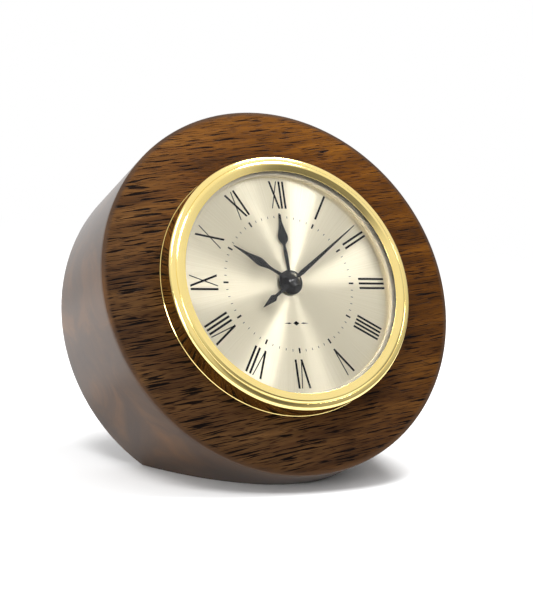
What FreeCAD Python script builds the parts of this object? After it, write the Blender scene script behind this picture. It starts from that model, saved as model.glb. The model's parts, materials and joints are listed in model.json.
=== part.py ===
import FreeCAD, Part
import math
import os
import Sketcher

# A round hardwood desk clock that leans back on a flat base.
# A brass fit-up insert with an alarm movement plugs into the block from the front.
# Every piece is drawn in the clock's own frame: x to the right, y up the dial towards twelve,
# z out of the face, with z = 0 on the wood's front. The last step stands it on the table.

doc = FreeCAD.newDocument("leaning_clock")
sheet = doc.addObject("Spreadsheet::Sheet", "sizes")

SIZES = [
    # wooden block
    ("block_radius", 51.0),
    ("block_depth", 34.0),
    ("bore_gap", 0.5),
    ("edge_round", 0.5),
    ("lean_angle", 27.0),
    ("base_drop", 50.5),
    # cup of the insert
    ("cell_room", 1.2),
    ("cup_wall", 1.2),
    ("cup_depth", 19.0),
    ("cup_floor", 1.4),
    ("dial_seat", 3.3),
    ("grip_top", 5.0),
    ("grip_width", 4.0),
    ("grip_sink", 0.4),
    ("slip_fit", 0.05),
    ("loose_fit", 0.2),
    # bezel, lens, spacer and gasket
    ("rim_ledge", 3.9),
    ("bezel_wall", 0.75),
    ("bezel_foot", 0.25),
    ("bezel_foot_height", 0.45),
    ("bezel_edge", 6.2),
    ("bezel_round", 0.4),
    ("bezel_lip", 7.1),
    ("lip_cover", 1.85),
    ("groove_inset", 1.9),
    ("bezel_groove_width", 0.5),
    ("bezel_groove_depth", 0.3),
    ("lip_round", 0.4),
    ("lens_room", 1.8),
    ("lens_thick", 1.0),
    ("lens_rise", 3.8),
    ("gasket_thick", 0.2),
    ("gasket_width", 1.4),
    ("spacer_height", 1.3),
    ("spacer_width", 2.5),
    # dial
    ("dial_thick", 0.5),
    ("dial_margin", 0.9),
    ("dial_hole", 2.75),
    ("foot_radius", 0.6),
    ("foot_length", 1.9),
    ("foot_x", 19.0),
    ("foot_y", 12.0),
    # movement plates
    ("front_plate_low", 1.0),
    ("front_plate_thick", 1.2),
    ("middle_plate_top", -3.1),
    ("rear_plate_top", -9.2),
    ("plate_thick", 0.8),
    ("post_radius", 2.6),
    ("post_gap", 0.15),
    ("plate_flat", 5.4),
    # pillars and screws
    ("pillar_foot", 2.6),
    ("pillar_middle", 2.0),
    ("pillar_neck", 1.5),
    ("pillar_inset", 3.4),
    ("pillar_drop", 2.0),
    ("screw_core", 0.7),
    ("screw_head", 1.4),
    ("screw_head_height", 0.8),
    ("screw_length", 5.0),
    ("slot_width", 0.35),
    ("slot_depth", 0.35),
    # hand stack
    ("arbor_radius", 0.7),
    ("pipe_wall", 0.45),
    ("pipe_gap", 0.1),
    ("boss_gap", 0.15),
    ("boss_height", 0.55),
    ("blade_thick", 0.2),
    ("blade_lift", 0.2),
    ("alarm_boss", 3.4),
    ("hour_boss", 3.0),
    ("minute_boss", 2.25),
    ("boss_round", 0.15),
    ("cap_radius", 1.75),
    ("cap_skirt", 0.45),
    ("cap_height", 1.9),
    ("cap_tip", 0.35),
    ("alarm_length", 19.4),
    ("alarm_width", 2.9),
    ("hour_length", 18.4),
    ("hour_width", 2.2),
    ("minute_length", 26.5),
    ("minute_width", 1.25),
    ("minute_tail", 12.2),
    ("tail_width", 1.9),
    ("alarm_turn", 358.2),
    ("hour_turn", 302.0),
    ("minute_turn", 52.9),
    # motion work
    ("work_module", 0.4),
    ("minute_teeth", 10),
    ("motion_teeth", 30),
    ("motion_pinion_teeth", 8),
    ("hour_teeth", 32),
    ("alarm_teeth", 35),
    ("setting_teeth", 10),
    ("work_wheel_thick", 0.6),
    ("alarm_wheel_low", 0.1),
    ("hour_wheel_low", -1.2),
    ("motion_wheel_low", -2.5),
    ("setting_turn", 20.0),
    ("knob_arbor", 0.6),
    # going train
    ("train_module", 0.2),
    ("second_module", 0.25),
    ("train_pinion_teeth", 8),
    ("centre_teeth", 64),
    ("third_teeth", 60),
    ("second_teeth", 40),
    ("between_teeth", 48),
    ("train_wheel_thick", 0.4),
    ("train_top", -4.2),
    ("train_step", 0.95),
    ("train_arbor", 0.3),
    ("pivot_radius", 0.2),
    ("pivot_gap", 0.05),
    ("second_turn", 135.0),
    ("between_turn", 50.0),
    ("rotor_turn", 0.0),
    ("magnet_radius", 2.1),
    ("magnet_height", 1.0),
    # stepping motor
    ("stator_thick", 0.7),
    ("stator_gap", 0.4),
    ("coil_x", 16.5),
    ("coil_low_y", 3.8),
    ("coil_high_y", 20.4),
    ("core_width", 1.6),
    ("core_thick", 0.7),
    ("bobbin_radius", 2.6),
    ("barrel_radius", 1.3),
    ("bobbin_flange", 0.6),
    ("winding_radius", 2.35),
    ("coil_margin", 1.7),
    # circuit board
    ("board_inset", 5.1),
    ("board_low", 0.6),
    ("board_width", 11.0),
    ("board_height", 12.4),
    ("board_thick", 0.9),
    ("crystal_radius", 1.0),
    ("crystal_length", 6.0),
    ("chip_radius", 2.4),
    ("chip_height", 0.9),
    # sounder
    ("sounder_x", -4.0),
    ("sounder_y", 14.5),
    ("sounder_radius", 9.0),
    ("sounder_thick", 0.5),
    ("sounder_rim", 1.0),
    ("sound_hole", 0.9),
    # knobs
    ("knob_radius", 4.2),
    ("knob_height", 3.6),
    ("knob_gap", 1.8),
    ("knob_flute", 0.5),
    # alarm switch
    ("switch_x", 19.0),
    ("switch_y", 7.0),
    ("switch_travel", 3.0),
    ("switch_stem_width", 1.9),
    ("switch_stem_length", 3.8),
    ("switch_cap_width", 4.4),
    ("switch_cap_length", 5.6),
    ("switch_cap_height", 1.6),
    ("switch_ridge", 0.6),
    ("switch_plate_width", 4.6),
    ("switch_plate_length", 8.0),
    ("switch_plate_thick", 1.0),
    # battery and its bay
    ("battery_radius", 5.25),
    ("battery_length", 44.5),
    ("battery_tip_radius", 1.9),
    ("battery_tip", 1.0),
    ("battery_round", 0.5),
    ("battery_float", 0.4),
    ("bay_wall", 0.8),
    ("bay_gap", 0.55),
    ("bay_top", -5.2),
    ("contact_thick", 0.4),
    ("contact_width", 6.0),
    ("contact_height", 10.0),
    ("spring_bow", 1.1),
    ("rib_width", 2.8),
    ("rib_inset", 2.6),
    ("rib_height", 9.6),
    # battery door
    ("door_margin", 0.45),
    ("door_gap", 0.15),
    ("door_pin_radius", 0.5),
    ("knuckle_radius", 1.0),
    ("knuckle_gap", 0.15),
    ("knuckle_length", 16.0),
    ("lug_length", 3.6),
    ("door_grip", 1.0),
    # alarm contact
    ("feeler_x", -5.0),
    ("feeler_width", 2.0),
    ("feeler_thick", 0.25),
    ("feeler_foot", 6.0),
    ("feeler_gap", 1.0),
]

for row, (word, start) in enumerate(SIZES, 1):
    sheet.set("A%d" % row, word)
    sheet.set("B%d" % row, str(start))
    sheet.setAlias("B%d" % row, word)
doc.recompute()


class Size:
    """A number together with the formula that ties it to the table of sizes."""

    def __init__(self, value, formula):
        self.value = float(value)
        self.formula = formula

    def joined(self, sign, other, value):
        return Size(value, "(%s %s %s)" % (self.formula, sign, as_size(other).formula))

    def __add__(self, other):
        return self.joined("+", other, self.value + as_size(other).value)

    def __sub__(self, other):
        return self.joined("-", other, self.value - as_size(other).value)

    def __mul__(self, other):
        return self.joined("*", other, self.value * as_size(other).value)

    def __truediv__(self, other):
        return self.joined("/", other, self.value / as_size(other).value)

    def __neg__(self):
        return Size(-self.value, "(0 - %s)" % self.formula)


def as_size(number):
    return number if isinstance(number, Size) else Size(number, "(%r)" % number)


def size(word):
    return Size(sheet.get(word), "sizes." + word)


def corner_reach(across, along):
    """How far a corner lies from the hands' axis, by the rule of Pythagoras."""
    square = across * across + along * along
    return Size(math.sqrt(square.value), "sqrt(%s)" % square.formula)


def farther(first, second):
    return Size(max(first.value, second.value), "max(%s; %s)" % (first.formula, second.formula))


def vector(x, y, z):
    return FreeCAD.Vector(as_size(x).value, as_size(y).value, as_size(z).value)


ZERO = as_size(0.0)
lean = size("lean_angle").value
CLOCK = FreeCAD.Placement(
    FreeCAD.Vector(0, -size("block_depth").value * math.cos(math.radians(lean)) / 2, size("base_drop").value),
    FreeCAD.Rotation(FreeCAD.Vector(1, 0, 0), 90 - lean))
UPRIGHT = FreeCAD.Rotation()
ALONG_X = FreeCAD.Rotation(FreeCAD.Vector(0, 1, 0), 90)
ALONG_Y = FreeCAD.Rotation(FreeCAD.Vector(1, 0, 0), -90)
pieces = []


def place(piece, x=ZERO, y=ZERO, z=ZERO, turned=UPRIGHT):
    """Put a finished piece at its place in the clock's frame and keep it for the file it is written to."""
    piece.Placement = CLOCK.multiply(FreeCAD.Placement(vector(x, y, z), turned))
    pieces.append(piece)
    return piece


def new_body(name):
    return doc.addObject("PartDesign::Body", name)


def new_sketch(body, name, plane, lift=None):
    """Start a sketch on one of the body's own planes, lifted along the plane's normal."""
    sketch = body.newObject("Sketcher::SketchObject", name)
    support = [item for item in body.Origin.OriginFeatures if item.Role == plane][0]
    sketch.AttachmentSupport = (support, [""])
    sketch.MapMode = "FlatFace"
    if lift is not None:
        sketch.setExpression("AttachmentOffset.Base.z", lift.formula)
    return sketch


def hold(sketch, kind, edge, corner, value):
    """Hold one coordinate of an edge's end at a size measured from the sketch's origin."""
    if value is ZERO:
        axis = -2 if kind == "DistanceX" else -1
        sketch.addConstraint(Sketcher.Constraint("PointOnObject", edge, corner, axis))
        return
    index = sketch.addConstraint(Sketcher.Constraint(kind, -1, 1, edge, corner, value.value))
    sketch.setExpression("Constraints[%d]" % index, value.formula)


def bow(start, end, radius, left):
    """The arc of a radius from start to end that bulges to the left or right, drawn anticlockwise."""
    middle = (start + end) / 2
    half = (end - start) / 2
    side = FreeCAD.Vector(-half.y, half.x, 0).normalize() * (1 if left else -1)
    centre = middle - side * math.sqrt(radius ** 2 - half.Length ** 2)
    if left:
        start, end = end, start
    return Part.Arc(start, centre + side * radius, end)


def draw(sketch, corners, bows=None):
    """Draw a closed outline through corners; bows gives some edges a radius and the side they bulge to."""
    bows = bows or {}
    corners = [(as_size(across), as_size(along)) for across, along in corners]
    points = [vector(across, along, ZERO) for across, along in corners]
    first = sketch.GeometryCount
    starts = []
    for index, (here, there) in enumerate(zip(points, points[1:] + points[:1])):
        if index not in bows:
            sketch.addGeometry(Part.LineSegment(here, there), False)
            starts.append(1)
            continue
        radius, left = bows[index]
        sketch.addGeometry(bow(here, there, radius.value, left), False)
        starts.append(2 if left else 1)
        bend = sketch.addConstraint(Sketcher.Constraint("Radius", first + index, radius.value))
        sketch.setExpression("Constraints[%d]" % bend, radius.formula)
    for index in range(len(points)):
        after = (index + 1) % len(points)
        ends = (first + index, 3 - starts[index], first + after, starts[after])
        sketch.addConstraint(Sketcher.Constraint("Coincident", *ends))
    for index, (across, along) in enumerate(corners):
        hold(sketch, "DistanceX", first + index, starts[index], across)
        hold(sketch, "DistanceY", first + index, starts[index], along)


def ring(sketch, across, along, radius):
    """Draw a circle held by its centre and its radius."""
    across, along, radius = as_size(across), as_size(along), as_size(radius)
    circle = Part.Circle(vector(across, along, ZERO), FreeCAD.Vector(0, 0, 1), radius.value)
    edge = sketch.addGeometry(circle, False)
    bend = sketch.addConstraint(Sketcher.Constraint("Radius", edge, radius.value))
    sketch.setExpression("Constraints[%d]" % bend, radius.formula)
    hold(sketch, "DistanceX", edge, 3, across)
    hold(sketch, "DistanceY", edge, 3, along)


def block(left, right, low, high):
    return [(left, low), (right, low), (right, high), (left, high)]


def turn(body, name, corners, bows=None):
    """Turn an outline of (radius, height) corners about the body's upright axis."""
    sketch = new_sketch(body, name + "_outline", "XZ_Plane")
    draw(sketch, corners, bows)
    lathe = body.newObject("PartDesign::Revolution", name)
    lathe.Profile = sketch
    lathe.ReferenceAxis = (sketch, ["V_Axis"])
    lathe.Angle = 360
    return body


def raise_up(body, name, low, height, outlines=(), rings=(), plane="XY_Plane"):
    """Pad closed outlines and circles upwards from a level."""
    sketch = new_sketch(body, name + "_outline", plane, as_size(low))
    for outline in outlines:
        draw(sketch, outline)
    for circle in rings:
        ring(sketch, *circle)
    pad = body.newObject("PartDesign::Pad", name)
    pad.Profile = sketch
    pad.setExpression("Length", as_size(height).formula)
    return body


def cut_down(body, name, top, depth, outlines=(), rings=()):
    """Pocket closed outlines and circles downwards from a level."""
    doc.recompute()
    before = body.Shape.Volume
    sketch = new_sketch(body, name + "_outline", "XY_Plane", as_size(top))
    for outline in outlines:
        draw(sketch, outline)
    for circle in rings:
        ring(sketch, *circle)
    pocket = body.newObject("PartDesign::Pocket", name)
    pocket.Profile = sketch
    pocket.setExpression("Length", as_size(depth).formula)
    doc.recompute()
    if body.Shape.Volume >= before - 1e-6:
        raise SystemExit(name + " cuts nothing")
    return body


def turned_piece(name, corners, bows=None, x=ZERO, y=ZERO):
    body = turn(new_body(name), name + "_turn", corners, bows)
    doc.recompute()
    return place(body, x, y)


# radii that follow from what the cup holds: the battery with its contacts, and the coil
bay_low = -size("plate_flat") - size("loose_fit") - size("bay_wall")
battery_y = bay_low - size("bay_gap") - size("battery_radius")
half_battery, half_contact = size("battery_length") / 2.0, size("contact_width") / 2.0
plus_face = half_battery + size("contact_thick")
minus_face = plus_face + size("spring_bow")
contact_corner = corner_reach(minus_face, half_contact - battery_y)
stator_corner = corner_reach(size("coil_x") + size("coil_margin"), size("coil_high_y") + size("core_thick"))
cup_in = farther(contact_corner, stator_corner) + size("cell_room")
cup_radius = cup_in + size("cup_wall")
block_bore = cup_radius + size("bore_gap")
inner_wall = cup_radius + size("rim_ledge")
outer = inner_wall + size("bezel_wall")
lens_radius = inner_wall - size("lens_room")
opening = lens_radius - size("lip_cover")


# wooden block, a round disc with a through bore and a flat cut for its base
def wood_blank():
    radius, depth = size("block_radius"), size("block_depth")
    round_over = size("edge_round")
    body = new_body("wood_body")
    corners = [(block_bore, -depth), (radius - round_over, -depth), (radius, round_over - depth),
               (radius, -round_over), (radius - round_over, ZERO), (block_bore, ZERO)]
    turn(body, "disc", corners, {1: (round_over, False), 3: (round_over, False)})
    return body


def base_cutter():
    """The space under the table's level, a half-space that slopes across the clock's own frame."""
    reach = size("block_radius").value * 4
    table = doc.addObject("Part::Box", "table_space")
    for side in ("Length", "Width", "Height"):
        table.setExpression(side, "sizes.block_radius * 4")
    under = FreeCAD.Placement(FreeCAD.Vector(-reach / 2, -reach / 2, -reach), UPRIGHT)
    table.Placement = CLOCK.inverse().multiply(under)
    return table


wood_disc = wood_blank()
wood_disc.Label = "wood_disc"
wood_body = doc.addObject("Part::Cut", "wood_cut")
wood_body.Base = wood_disc
wood_body.Tool = base_cutter()
place(wood_body).Label = "wood_body"

# brass bezel, one spun ring that stands on the wood and folds over the lens
edge, lip = size("bezel_edge"), size("bezel_lip")
groove, groove_half = outer - size("groove_inset"), size("bezel_groove_width") / 2
foot_height, round_off = size("bezel_foot_height"), size("bezel_round")
lens_seat = size("dial_seat") + size("dial_thick") + size("spacer_height")
lip_under = lens_seat + size("lens_thick") + size("gasket_thick")
shelf = lens_seat + size("lens_thick") - size("bezel_round")
lens_pocket = lens_radius + size("pipe_gap")
bezel_corners = [
    (inner_wall, ZERO), (outer + size("bezel_foot"), ZERO), (outer + size("bezel_foot"), foot_height),
    (outer, foot_height + size("bezel_foot")), (outer, edge - round_off), (outer - round_off, edge),
    (groove + groove_half, edge + size("bezel_foot")),
    (groove, edge + size("bezel_foot") - size("bezel_groove_depth")),
    (groove - groove_half, edge + size("bezel_foot") + size("slip_fit")),
    (opening + size("lip_round"), lip), (opening, lip - size("lip_round")), (opening, lip_under),
    (lens_pocket, lip_under), (lens_pocket, shelf), (inner_wall, shelf)]
turned_piece("bezel", bezel_corners, {4: (round_off, False), 9: (size("lip_round"), False)})

# domed glass with a flat rim
lens_edge = opening + size("pipe_gap")
rise, thick = size("lens_rise"), size("lens_thick")
dome = (lens_edge * lens_edge + rise * rise) / (rise * 2.0)
turned_piece("lens", [
    (ZERO, lens_seat + rise), (lens_edge, lens_seat), (lens_radius, lens_seat),
    (lens_radius, lens_seat + thick), (lens_edge, lens_seat + thick),
    (ZERO, lens_seat + thick + rise)], {0: (dome, True), 4: (dome, False)})

# flat gasket between the glass and the bezel's lip
turned_piece("lens_gasket", block(
    lens_radius - size("gasket_width"), lens_radius, lens_seat + thick, lip_under))

# silvered spacer ring between the dial and the glass
dial_top = size("dial_seat") + size("dial_thick")
turned_piece("spacer_ring", block(lens_radius - size("spacer_width"), lens_radius, dial_top, lens_seat))

# dial, a thin metal disc with two feet pressed through the front plate
dial_radius = inner_wall - size("dial_margin")
dial = turn(new_body("dial"), "dial_disc", block(
    size("dial_hole"), dial_radius, size("dial_seat"), dial_top))
feet = [(side, size("foot_y"), size("foot_radius")) for side in (size("foot_x"), -size("foot_x"))]
raise_up(dial, "dial_feet", size("dial_seat") - size("foot_length"), size("foot_length"), rings=feet)
place(dial)

# places of the arbors, counted from the hands' axis
work_reach = size("work_module") * (size("minute_teeth") + size("motion_teeth")) / 2.0
setting_reach = size("work_module") * (size("alarm_teeth") + size("setting_teeth")) / 2.0


def polar(start, reach, degrees):
    """The point at a distance and a direction from another point, as numbers."""
    angle = math.radians(degrees)
    return (start[0] + reach * math.cos(angle), start[1] + reach * math.sin(angle))


def reach_of(module, wheel, pinion):
    """The distance between the arbors of a wheel and a pinion in mesh."""
    return size(module).value * (size(wheel).value + size(pinion).value) / 2


CENTRE = (0.0, 0.0)
MOTION = polar(CENTRE, work_reach.value, 180 - size("setting_turn").value)
SETTING = polar(CENTRE, setting_reach.value, size("setting_turn").value)
THIRD = polar(CENTRE, reach_of("train_module", "centre_teeth", "train_pinion_teeth"), 90)
SECOND = polar(THIRD, reach_of("train_module", "third_teeth", "train_pinion_teeth"),
               size("second_turn").value)
BETWEEN = polar(SECOND, reach_of("second_module", "second_teeth", "train_pinion_teeth"),
                size("between_turn").value)
ROTOR = polar(BETWEEN, reach_of("train_module", "between_teeth", "train_pinion_teeth"),
              size("rotor_turn").value)
pivot_hole = size("pivot_radius") + size("pivot_gap")
knob_hole = size("knob_arbor") + size("pivot_gap")
centre_hole = size("arbor_radius") + size("pivot_gap")
TRAIN_HOLES = [(x, y, pivot_hole) for x, y in (THIRD, SECOND, BETWEEN, ROTOR)]
KNOB_HOLES = [(x, y, knob_hole) for x, y in (MOTION, SETTING)]
pillar_reach, pillar_y = cup_in - size("pillar_inset"), -size("pillar_drop")
PILLARS = [(pillar_reach, pillar_y), (-pillar_reach, pillar_y), (ZERO, pillar_reach)]
front_plate_top = size("front_plate_low") + size("front_plate_thick")
plate_radius = cup_in - size("loose_fit")
reach = cup_radius * 2.0


def pillar_holes(radius):
    return [(x, y, radius) for x, y in PILLARS]


# front plate with the tube that the hands' pipes turn in
pipe_room = [size("arbor_radius") + size("pipe_gap")]
for step in range(2):
    pipe_room.append(pipe_room[-1] + size("pipe_wall") + size("pipe_gap"))
hour_room, alarm_room, post_room = pipe_room
front_plate = turn(new_body("front_plate"), "front_disc", [
    (post_room, size("front_plate_low")), (plate_radius, size("front_plate_low")),
    (plate_radius, front_plate_top), (size("post_radius"), front_plate_top),
    (size("post_radius"), dial_top + size("post_gap")), (post_room, dial_top + size("post_gap"))])
plate_bores = [(side, size("foot_y"), size("foot_radius")) for side in (size("foot_x"), -size("foot_x"))]
plate_bores += [(x, y, pivot_hole) for x, y in (MOTION, SETTING)]
cut_down(front_plate, "front_holes", front_plate_top, size("front_plate_thick"),
         rings=plate_bores + pillar_holes(size("screw_core")))
place(front_plate)

# alarm contact, a bent spring strip under the front plate
feeler = new_body("alarm_contact")
feeler_y = size("alarm_teeth") * size("work_module") / 2.0 + size("feeler_gap")
strip_low = size("front_plate_low") - size("feeler_thick")
raise_up(feeler, "feeler_foot", strip_low, size("feeler_thick"), [block(
    size("feeler_x"), size("feeler_x") + size("feeler_width"), feeler_y, feeler_y + size("feeler_foot"))])
raise_up(feeler, "feeler_leg", strip_low - size("feeler_width"), size("feeler_width"), [block(
    size("feeler_x"), size("feeler_x") + size("feeler_width"), feeler_y, feeler_y + size("feeler_thick"))])
place(feeler)


def train_plate(name, disc_name, top, centre, pillar_radius, windows):
    """A flat movement plate with one straight side over the battery and holes for what passes it."""
    body = new_body(name)
    raise_up(body, disc_name, top - size("plate_thick"), size("plate_thick"),
             rings=[(ZERO, ZERO, plate_radius)])
    doc.recompute()
    below = block(-reach, reach, -reach, -size("plate_flat"))
    cut_down(body, name + "_flat", top, size("plate_thick"), [below])
    holes = TRAIN_HOLES + KNOB_HOLES + pillar_holes(pillar_radius) + [(ZERO, ZERO, centre)]
    cut_down(body, name + "_holes", top, size("plate_thick"), windows, holes)
    return place(body)


# middle plate under the motion work, and rear plate with a window for the coil
pillar_play = size("pivot_gap")
train_plate("middle_plate", "middle_disc", size("middle_plate_top"), centre_hole,
            size("pillar_neck") + pillar_play, [])
coil_room = size("bobbin_radius") + size("loose_fit")
coil_window = block(size("coil_x") - coil_room, size("coil_x") + coil_room,
                    size("coil_low_y") + size("coil_margin"), size("coil_high_y") - size("coil_margin"))
train_plate("rear_plate", "rear_disc", size("rear_plate_top"), centre_hole,
            size("pillar_middle") + pillar_play, [coil_window])

# cup, the moulded case of the movement, with pillars, battery bay and openings in its floor
floor_out, floor_in = -size("cup_depth"), size("cup_floor") - size("cup_depth")
rim_radius = inner_wall - size("slip_fit")
grip_low = -size("grip_top") - size("grip_width")
grip_radius = cup_radius - size("grip_sink")
cup = turn(new_body("insert_cup"), "cup_wall", [
    (ZERO, floor_out), (cup_radius, floor_out), (cup_radius, grip_low),
    (grip_radius, grip_low), (grip_radius, -size("grip_top")), (cup_radius, -size("grip_top")),
    (cup_radius, ZERO), (rim_radius, ZERO), (rim_radius, size("dial_seat")),
    (cup_in, size("dial_seat")), (cup_in, floor_in), (ZERO, floor_in)])
neck_top = size("front_plate_low")
middle_low = size("middle_plate_top") - size("plate_thick")
rear_low = size("rear_plate_top") - size("plate_thick")
raise_up(cup, "pillar_feet", floor_in, rear_low - floor_in, rings=pillar_holes(size("pillar_foot")))
raise_up(cup, "pillar_middles", rear_low, middle_low - rear_low, rings=pillar_holes(size("pillar_middle")))
raise_up(cup, "pillar_necks", middle_low, neck_top - middle_low, rings=pillar_holes(size("pillar_neck")))
bay_reach = cup_in - size("bay_wall") / 2.0
raise_up(cup, "bay_wall", floor_in, size("bay_top") - floor_in, [block(
    -bay_reach, bay_reach, bay_low, bay_low + size("bay_wall"))])
rib_low, rib_high = battery_y - size("rib_width") / 2.0, battery_y + size("rib_width") / 2.0
rib_end = cup_in - size("rib_inset")
raise_up(cup, "contact_ribs", floor_in, size("rib_height"), [
    block(plus_face, rib_end, rib_low, rib_high), block(-rib_end, -minus_face, rib_low, rib_high)])
sounder_seat = size("sounder_radius") - size("sounder_rim")
doc.recompute()
raise_up(cup, "sounder_rim", floor_in, size("sounder_rim"), rings=[
    (size("sounder_x"), size("sounder_y"), size("sounder_radius")),
    (size("sounder_x"), size("sounder_y"), sounder_seat)])
doc.recompute()
door_low = battery_y - size("battery_radius") - size("door_margin")
door_high = battery_y + size("battery_radius") + size("door_margin") / 4.0
door_half = half_battery + size("door_margin")
cut_down(cup, "battery_opening", floor_in, size("cup_floor"),
         [block(-door_half, door_half, door_low, door_high)])
stem_half, stem_long = size("switch_stem_width") / 2.0, size("switch_stem_length") / 2.0
stem_play = size("pivot_gap")
switch_slot = block(size("switch_x") - stem_half - stem_play, size("switch_x") + stem_half + stem_play,
                    size("switch_y") - stem_long - stem_play,
                    size("switch_y") + stem_long + size("switch_travel") + stem_play)
sound_holes = [(size("sounder_x"), size("sounder_y"), size("sound_hole"))]
sounder_middle = (size("sounder_x").value, size("sounder_y").value)
for number in range(6):
    spot = polar(sounder_middle, size("sounder_radius").value / 2, 60 * number)
    sound_holes.append((spot[0], spot[1], size("sound_hole")))
cut_down(cup, "floor_holes", floor_in, size("cup_floor"), [switch_slot], KNOB_HOLES + sound_holes)
cut_down(cup, "screw_holes", neck_top, size("screw_length") - size("front_plate_thick"),
         rings=pillar_holes(size("screw_core")))
pin_y = door_high + size("knuckle_radius") - size("knuckle_gap")
pin_z = floor_out - size("knuckle_radius") - size("knuckle_gap")
lug_inner = size("knuckle_length") / 2.0 + size("knuckle_gap")
lug_outer = lug_inner + size("lug_length")
lug_side = [(pin_y - size("knuckle_radius"), pin_z - size("knuckle_radius")),
            (pin_y + size("knuckle_radius") * 2.0, pin_z - size("knuckle_radius")),
            (pin_y + size("knuckle_radius") * 2.0, floor_out), (pin_y, floor_out),
            (pin_y - size("knuckle_radius"), pin_z)]
for side, low in (("right", lug_inner), ("left", -lug_outer)):
    lug = new_sketch(cup, "lug_%s_outline" % side, "YZ_Plane", low)
    draw(lug, lug_side)
    ring(lug, pin_y, pin_z, size("door_pin_radius"))
    pad = cup.newObject("PartDesign::Pad", "lug_" + side)
    pad.Profile = lug
    pad.setExpression("Length", size("lug_length").formula)
doc.recompute()
place(cup)

# rubber ring in the cup's groove that grips the wood
turned_piece("grip_ring", block(grip_radius, block_bore - size("slip_fit"), grip_low, -size("grip_top")))

# three screws that hold the plates on the pillars
screws = []
for index, (x, y) in enumerate(PILLARS):
    screw = turn(new_body("screw_%d" % index), "screw_turn_%d" % index, [
        (ZERO, front_plate_top - size("screw_length")),
        (size("screw_core"), front_plate_top - size("screw_length")),
        (size("screw_core"), front_plate_top), (size("screw_head"), front_plate_top),
        (size("screw_head"), front_plate_top + size("screw_head_height")),
        (ZERO, front_plate_top + size("screw_head_height"))])
    doc.recompute()
    half = size("slot_width") / 2.0
    cut_down(screw, "screw_slot_%d" % index, front_plate_top + size("screw_head_height"), size("slot_depth"),
             [block(-size("screw_head") * 1.5, size("screw_head") * 1.5, -half, half)])
    screw.Placement = FreeCAD.Placement(vector(x, y, ZERO), UPRIGHT)
    screws.append(screw)
plate_screws = doc.addObject("Part::Compound", "plate_screws")
plate_screws.Links = screws
place(plate_screws)


# teeth and wheels, with the tooth's height, depth and half widths as shares of the module
TOOTH_TOP = 0.85
TOOTH_FOOT = 1.2
ROOT_HALF = 0.48
TIP_HALF = 0.2


def toothed_face(teeth, module, phase):
    """A flat gear blank whose tapered teeth leave play on both flanks."""
    pitch_radius = teeth * module / 2
    tip, root = pitch_radius + TOOTH_TOP * module, pitch_radius - TOOTH_FOOT * module
    points = []
    for number in range(teeth):
        angle = phase + 2 * math.pi * number / teeth
        root_half, tip_half = ROOT_HALF * module / root, TIP_HALF * module / tip
        for radius, at in ((root, angle - root_half), (tip, angle - tip_half),
                           (tip, angle + tip_half), (root, angle + root_half)):
            points.append(FreeCAD.Vector(radius * math.cos(at), radius * math.sin(at), 0))
    return Part.Face(Part.makePolygon(points + points[:1]))


def gear(teeth, module, phase, low, height):
    face = toothed_face(int(teeth), module, phase)
    face.translate(FreeCAD.Vector(0, 0, low))
    return face.extrude(FreeCAD.Vector(0, 0, height))


def rod(radius, low, high):
    return Part.makeCylinder(radius, high - low, FreeCAD.Vector(0, 0, low))


def mesh_phase(driver_place, driver_teeth, driver_phase, place_of, teeth):
    """The turn that puts a gap of this gear opposite a tooth of the gear it meets."""
    way = math.atan2(place_of[1] - driver_place[1], place_of[0] - driver_place[0])
    share = ((way - driver_phase) * driver_teeth / (2 * math.pi)) % 1.0
    return way + math.pi + (share - 0.5) * 2 * math.pi / teeth


def solid_piece(name, shape, spot=CENTRE):
    piece = doc.addObject("Part::Feature", name)
    piece.Shape = shape.removeSplitter()
    piece.Placement = CLOCK.multiply(FreeCAD.Placement(FreeCAD.Vector(spot[0], spot[1], 0), UPRIGHT))
    pieces.append(piece)
    return piece


work, train = size("work_module").value, size("train_module").value
work_thick = size("work_wheel_thick").value
minute_teeth, motion_teeth = size("minute_teeth").value, size("motion_teeth").value
pinion_teeth, hour_teeth = size("motion_pinion_teeth").value, size("hour_teeth").value
alarm_teeth, setting_teeth = size("alarm_teeth").value, size("setting_teeth").value
arbor, knob_arbor = size("arbor_radius").value, size("knob_arbor").value
pivot = size("pivot_radius").value
lift, wall = size("blade_lift").value, size("pipe_wall").value
boss, boss_gap = size("boss_height").value, size("boss_gap").value
post_top = dial_top.value + size("post_gap").value
alarm_low = post_top + boss_gap
hour_low = alarm_low + boss + boss_gap
minute_low = hour_low + boss + boss_gap
plate_top = front_plate_top.value
rear_hole_low = rear_low.value
rear_top = size("rear_plate_top").value
mesh_play = size("pipe_gap").value

# minute arbor with its pinion, carried in the middle and rear plates
motion_low = size("motion_wheel_low").value
minute_arbor = rod(arbor, rear_hole_low, minute_low + boss)
cannon_pinion = gear(minute_teeth, work, 0, motion_low - mesh_play, work_thick + 2 * mesh_play)
minute_arbor = minute_arbor.fuse(cannon_pinion)
solid_piece("minute_arbor", minute_arbor)

# motion wheel, whose arbor goes out through the back to the time knob
motion_phase = mesh_phase(CENTRE, minute_teeth, 0, MOTION, motion_teeth)
hour_wheel_low = size("hour_wheel_low").value
knob_high = floor_out.value - size("knob_gap").value
knob_low = knob_high - size("knob_height").value
knob_seat = knob_high - size("knob_height").value / 2
motion = gear(motion_teeth, work, motion_phase, motion_low, work_thick)
motion = motion.fuse(gear(pinion_teeth, work, 0, motion_low + work_thick,
                          hour_wheel_low + work_thick + mesh_play - motion_low - work_thick))
motion = motion.fuse(rod(knob_arbor, knob_seat, hour_wheel_low + work_thick + 2 * mesh_play))
motion = motion.fuse(rod(pivot, hour_wheel_low, plate_top))
solid_piece("motion_wheel", motion, MOTION)

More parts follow.
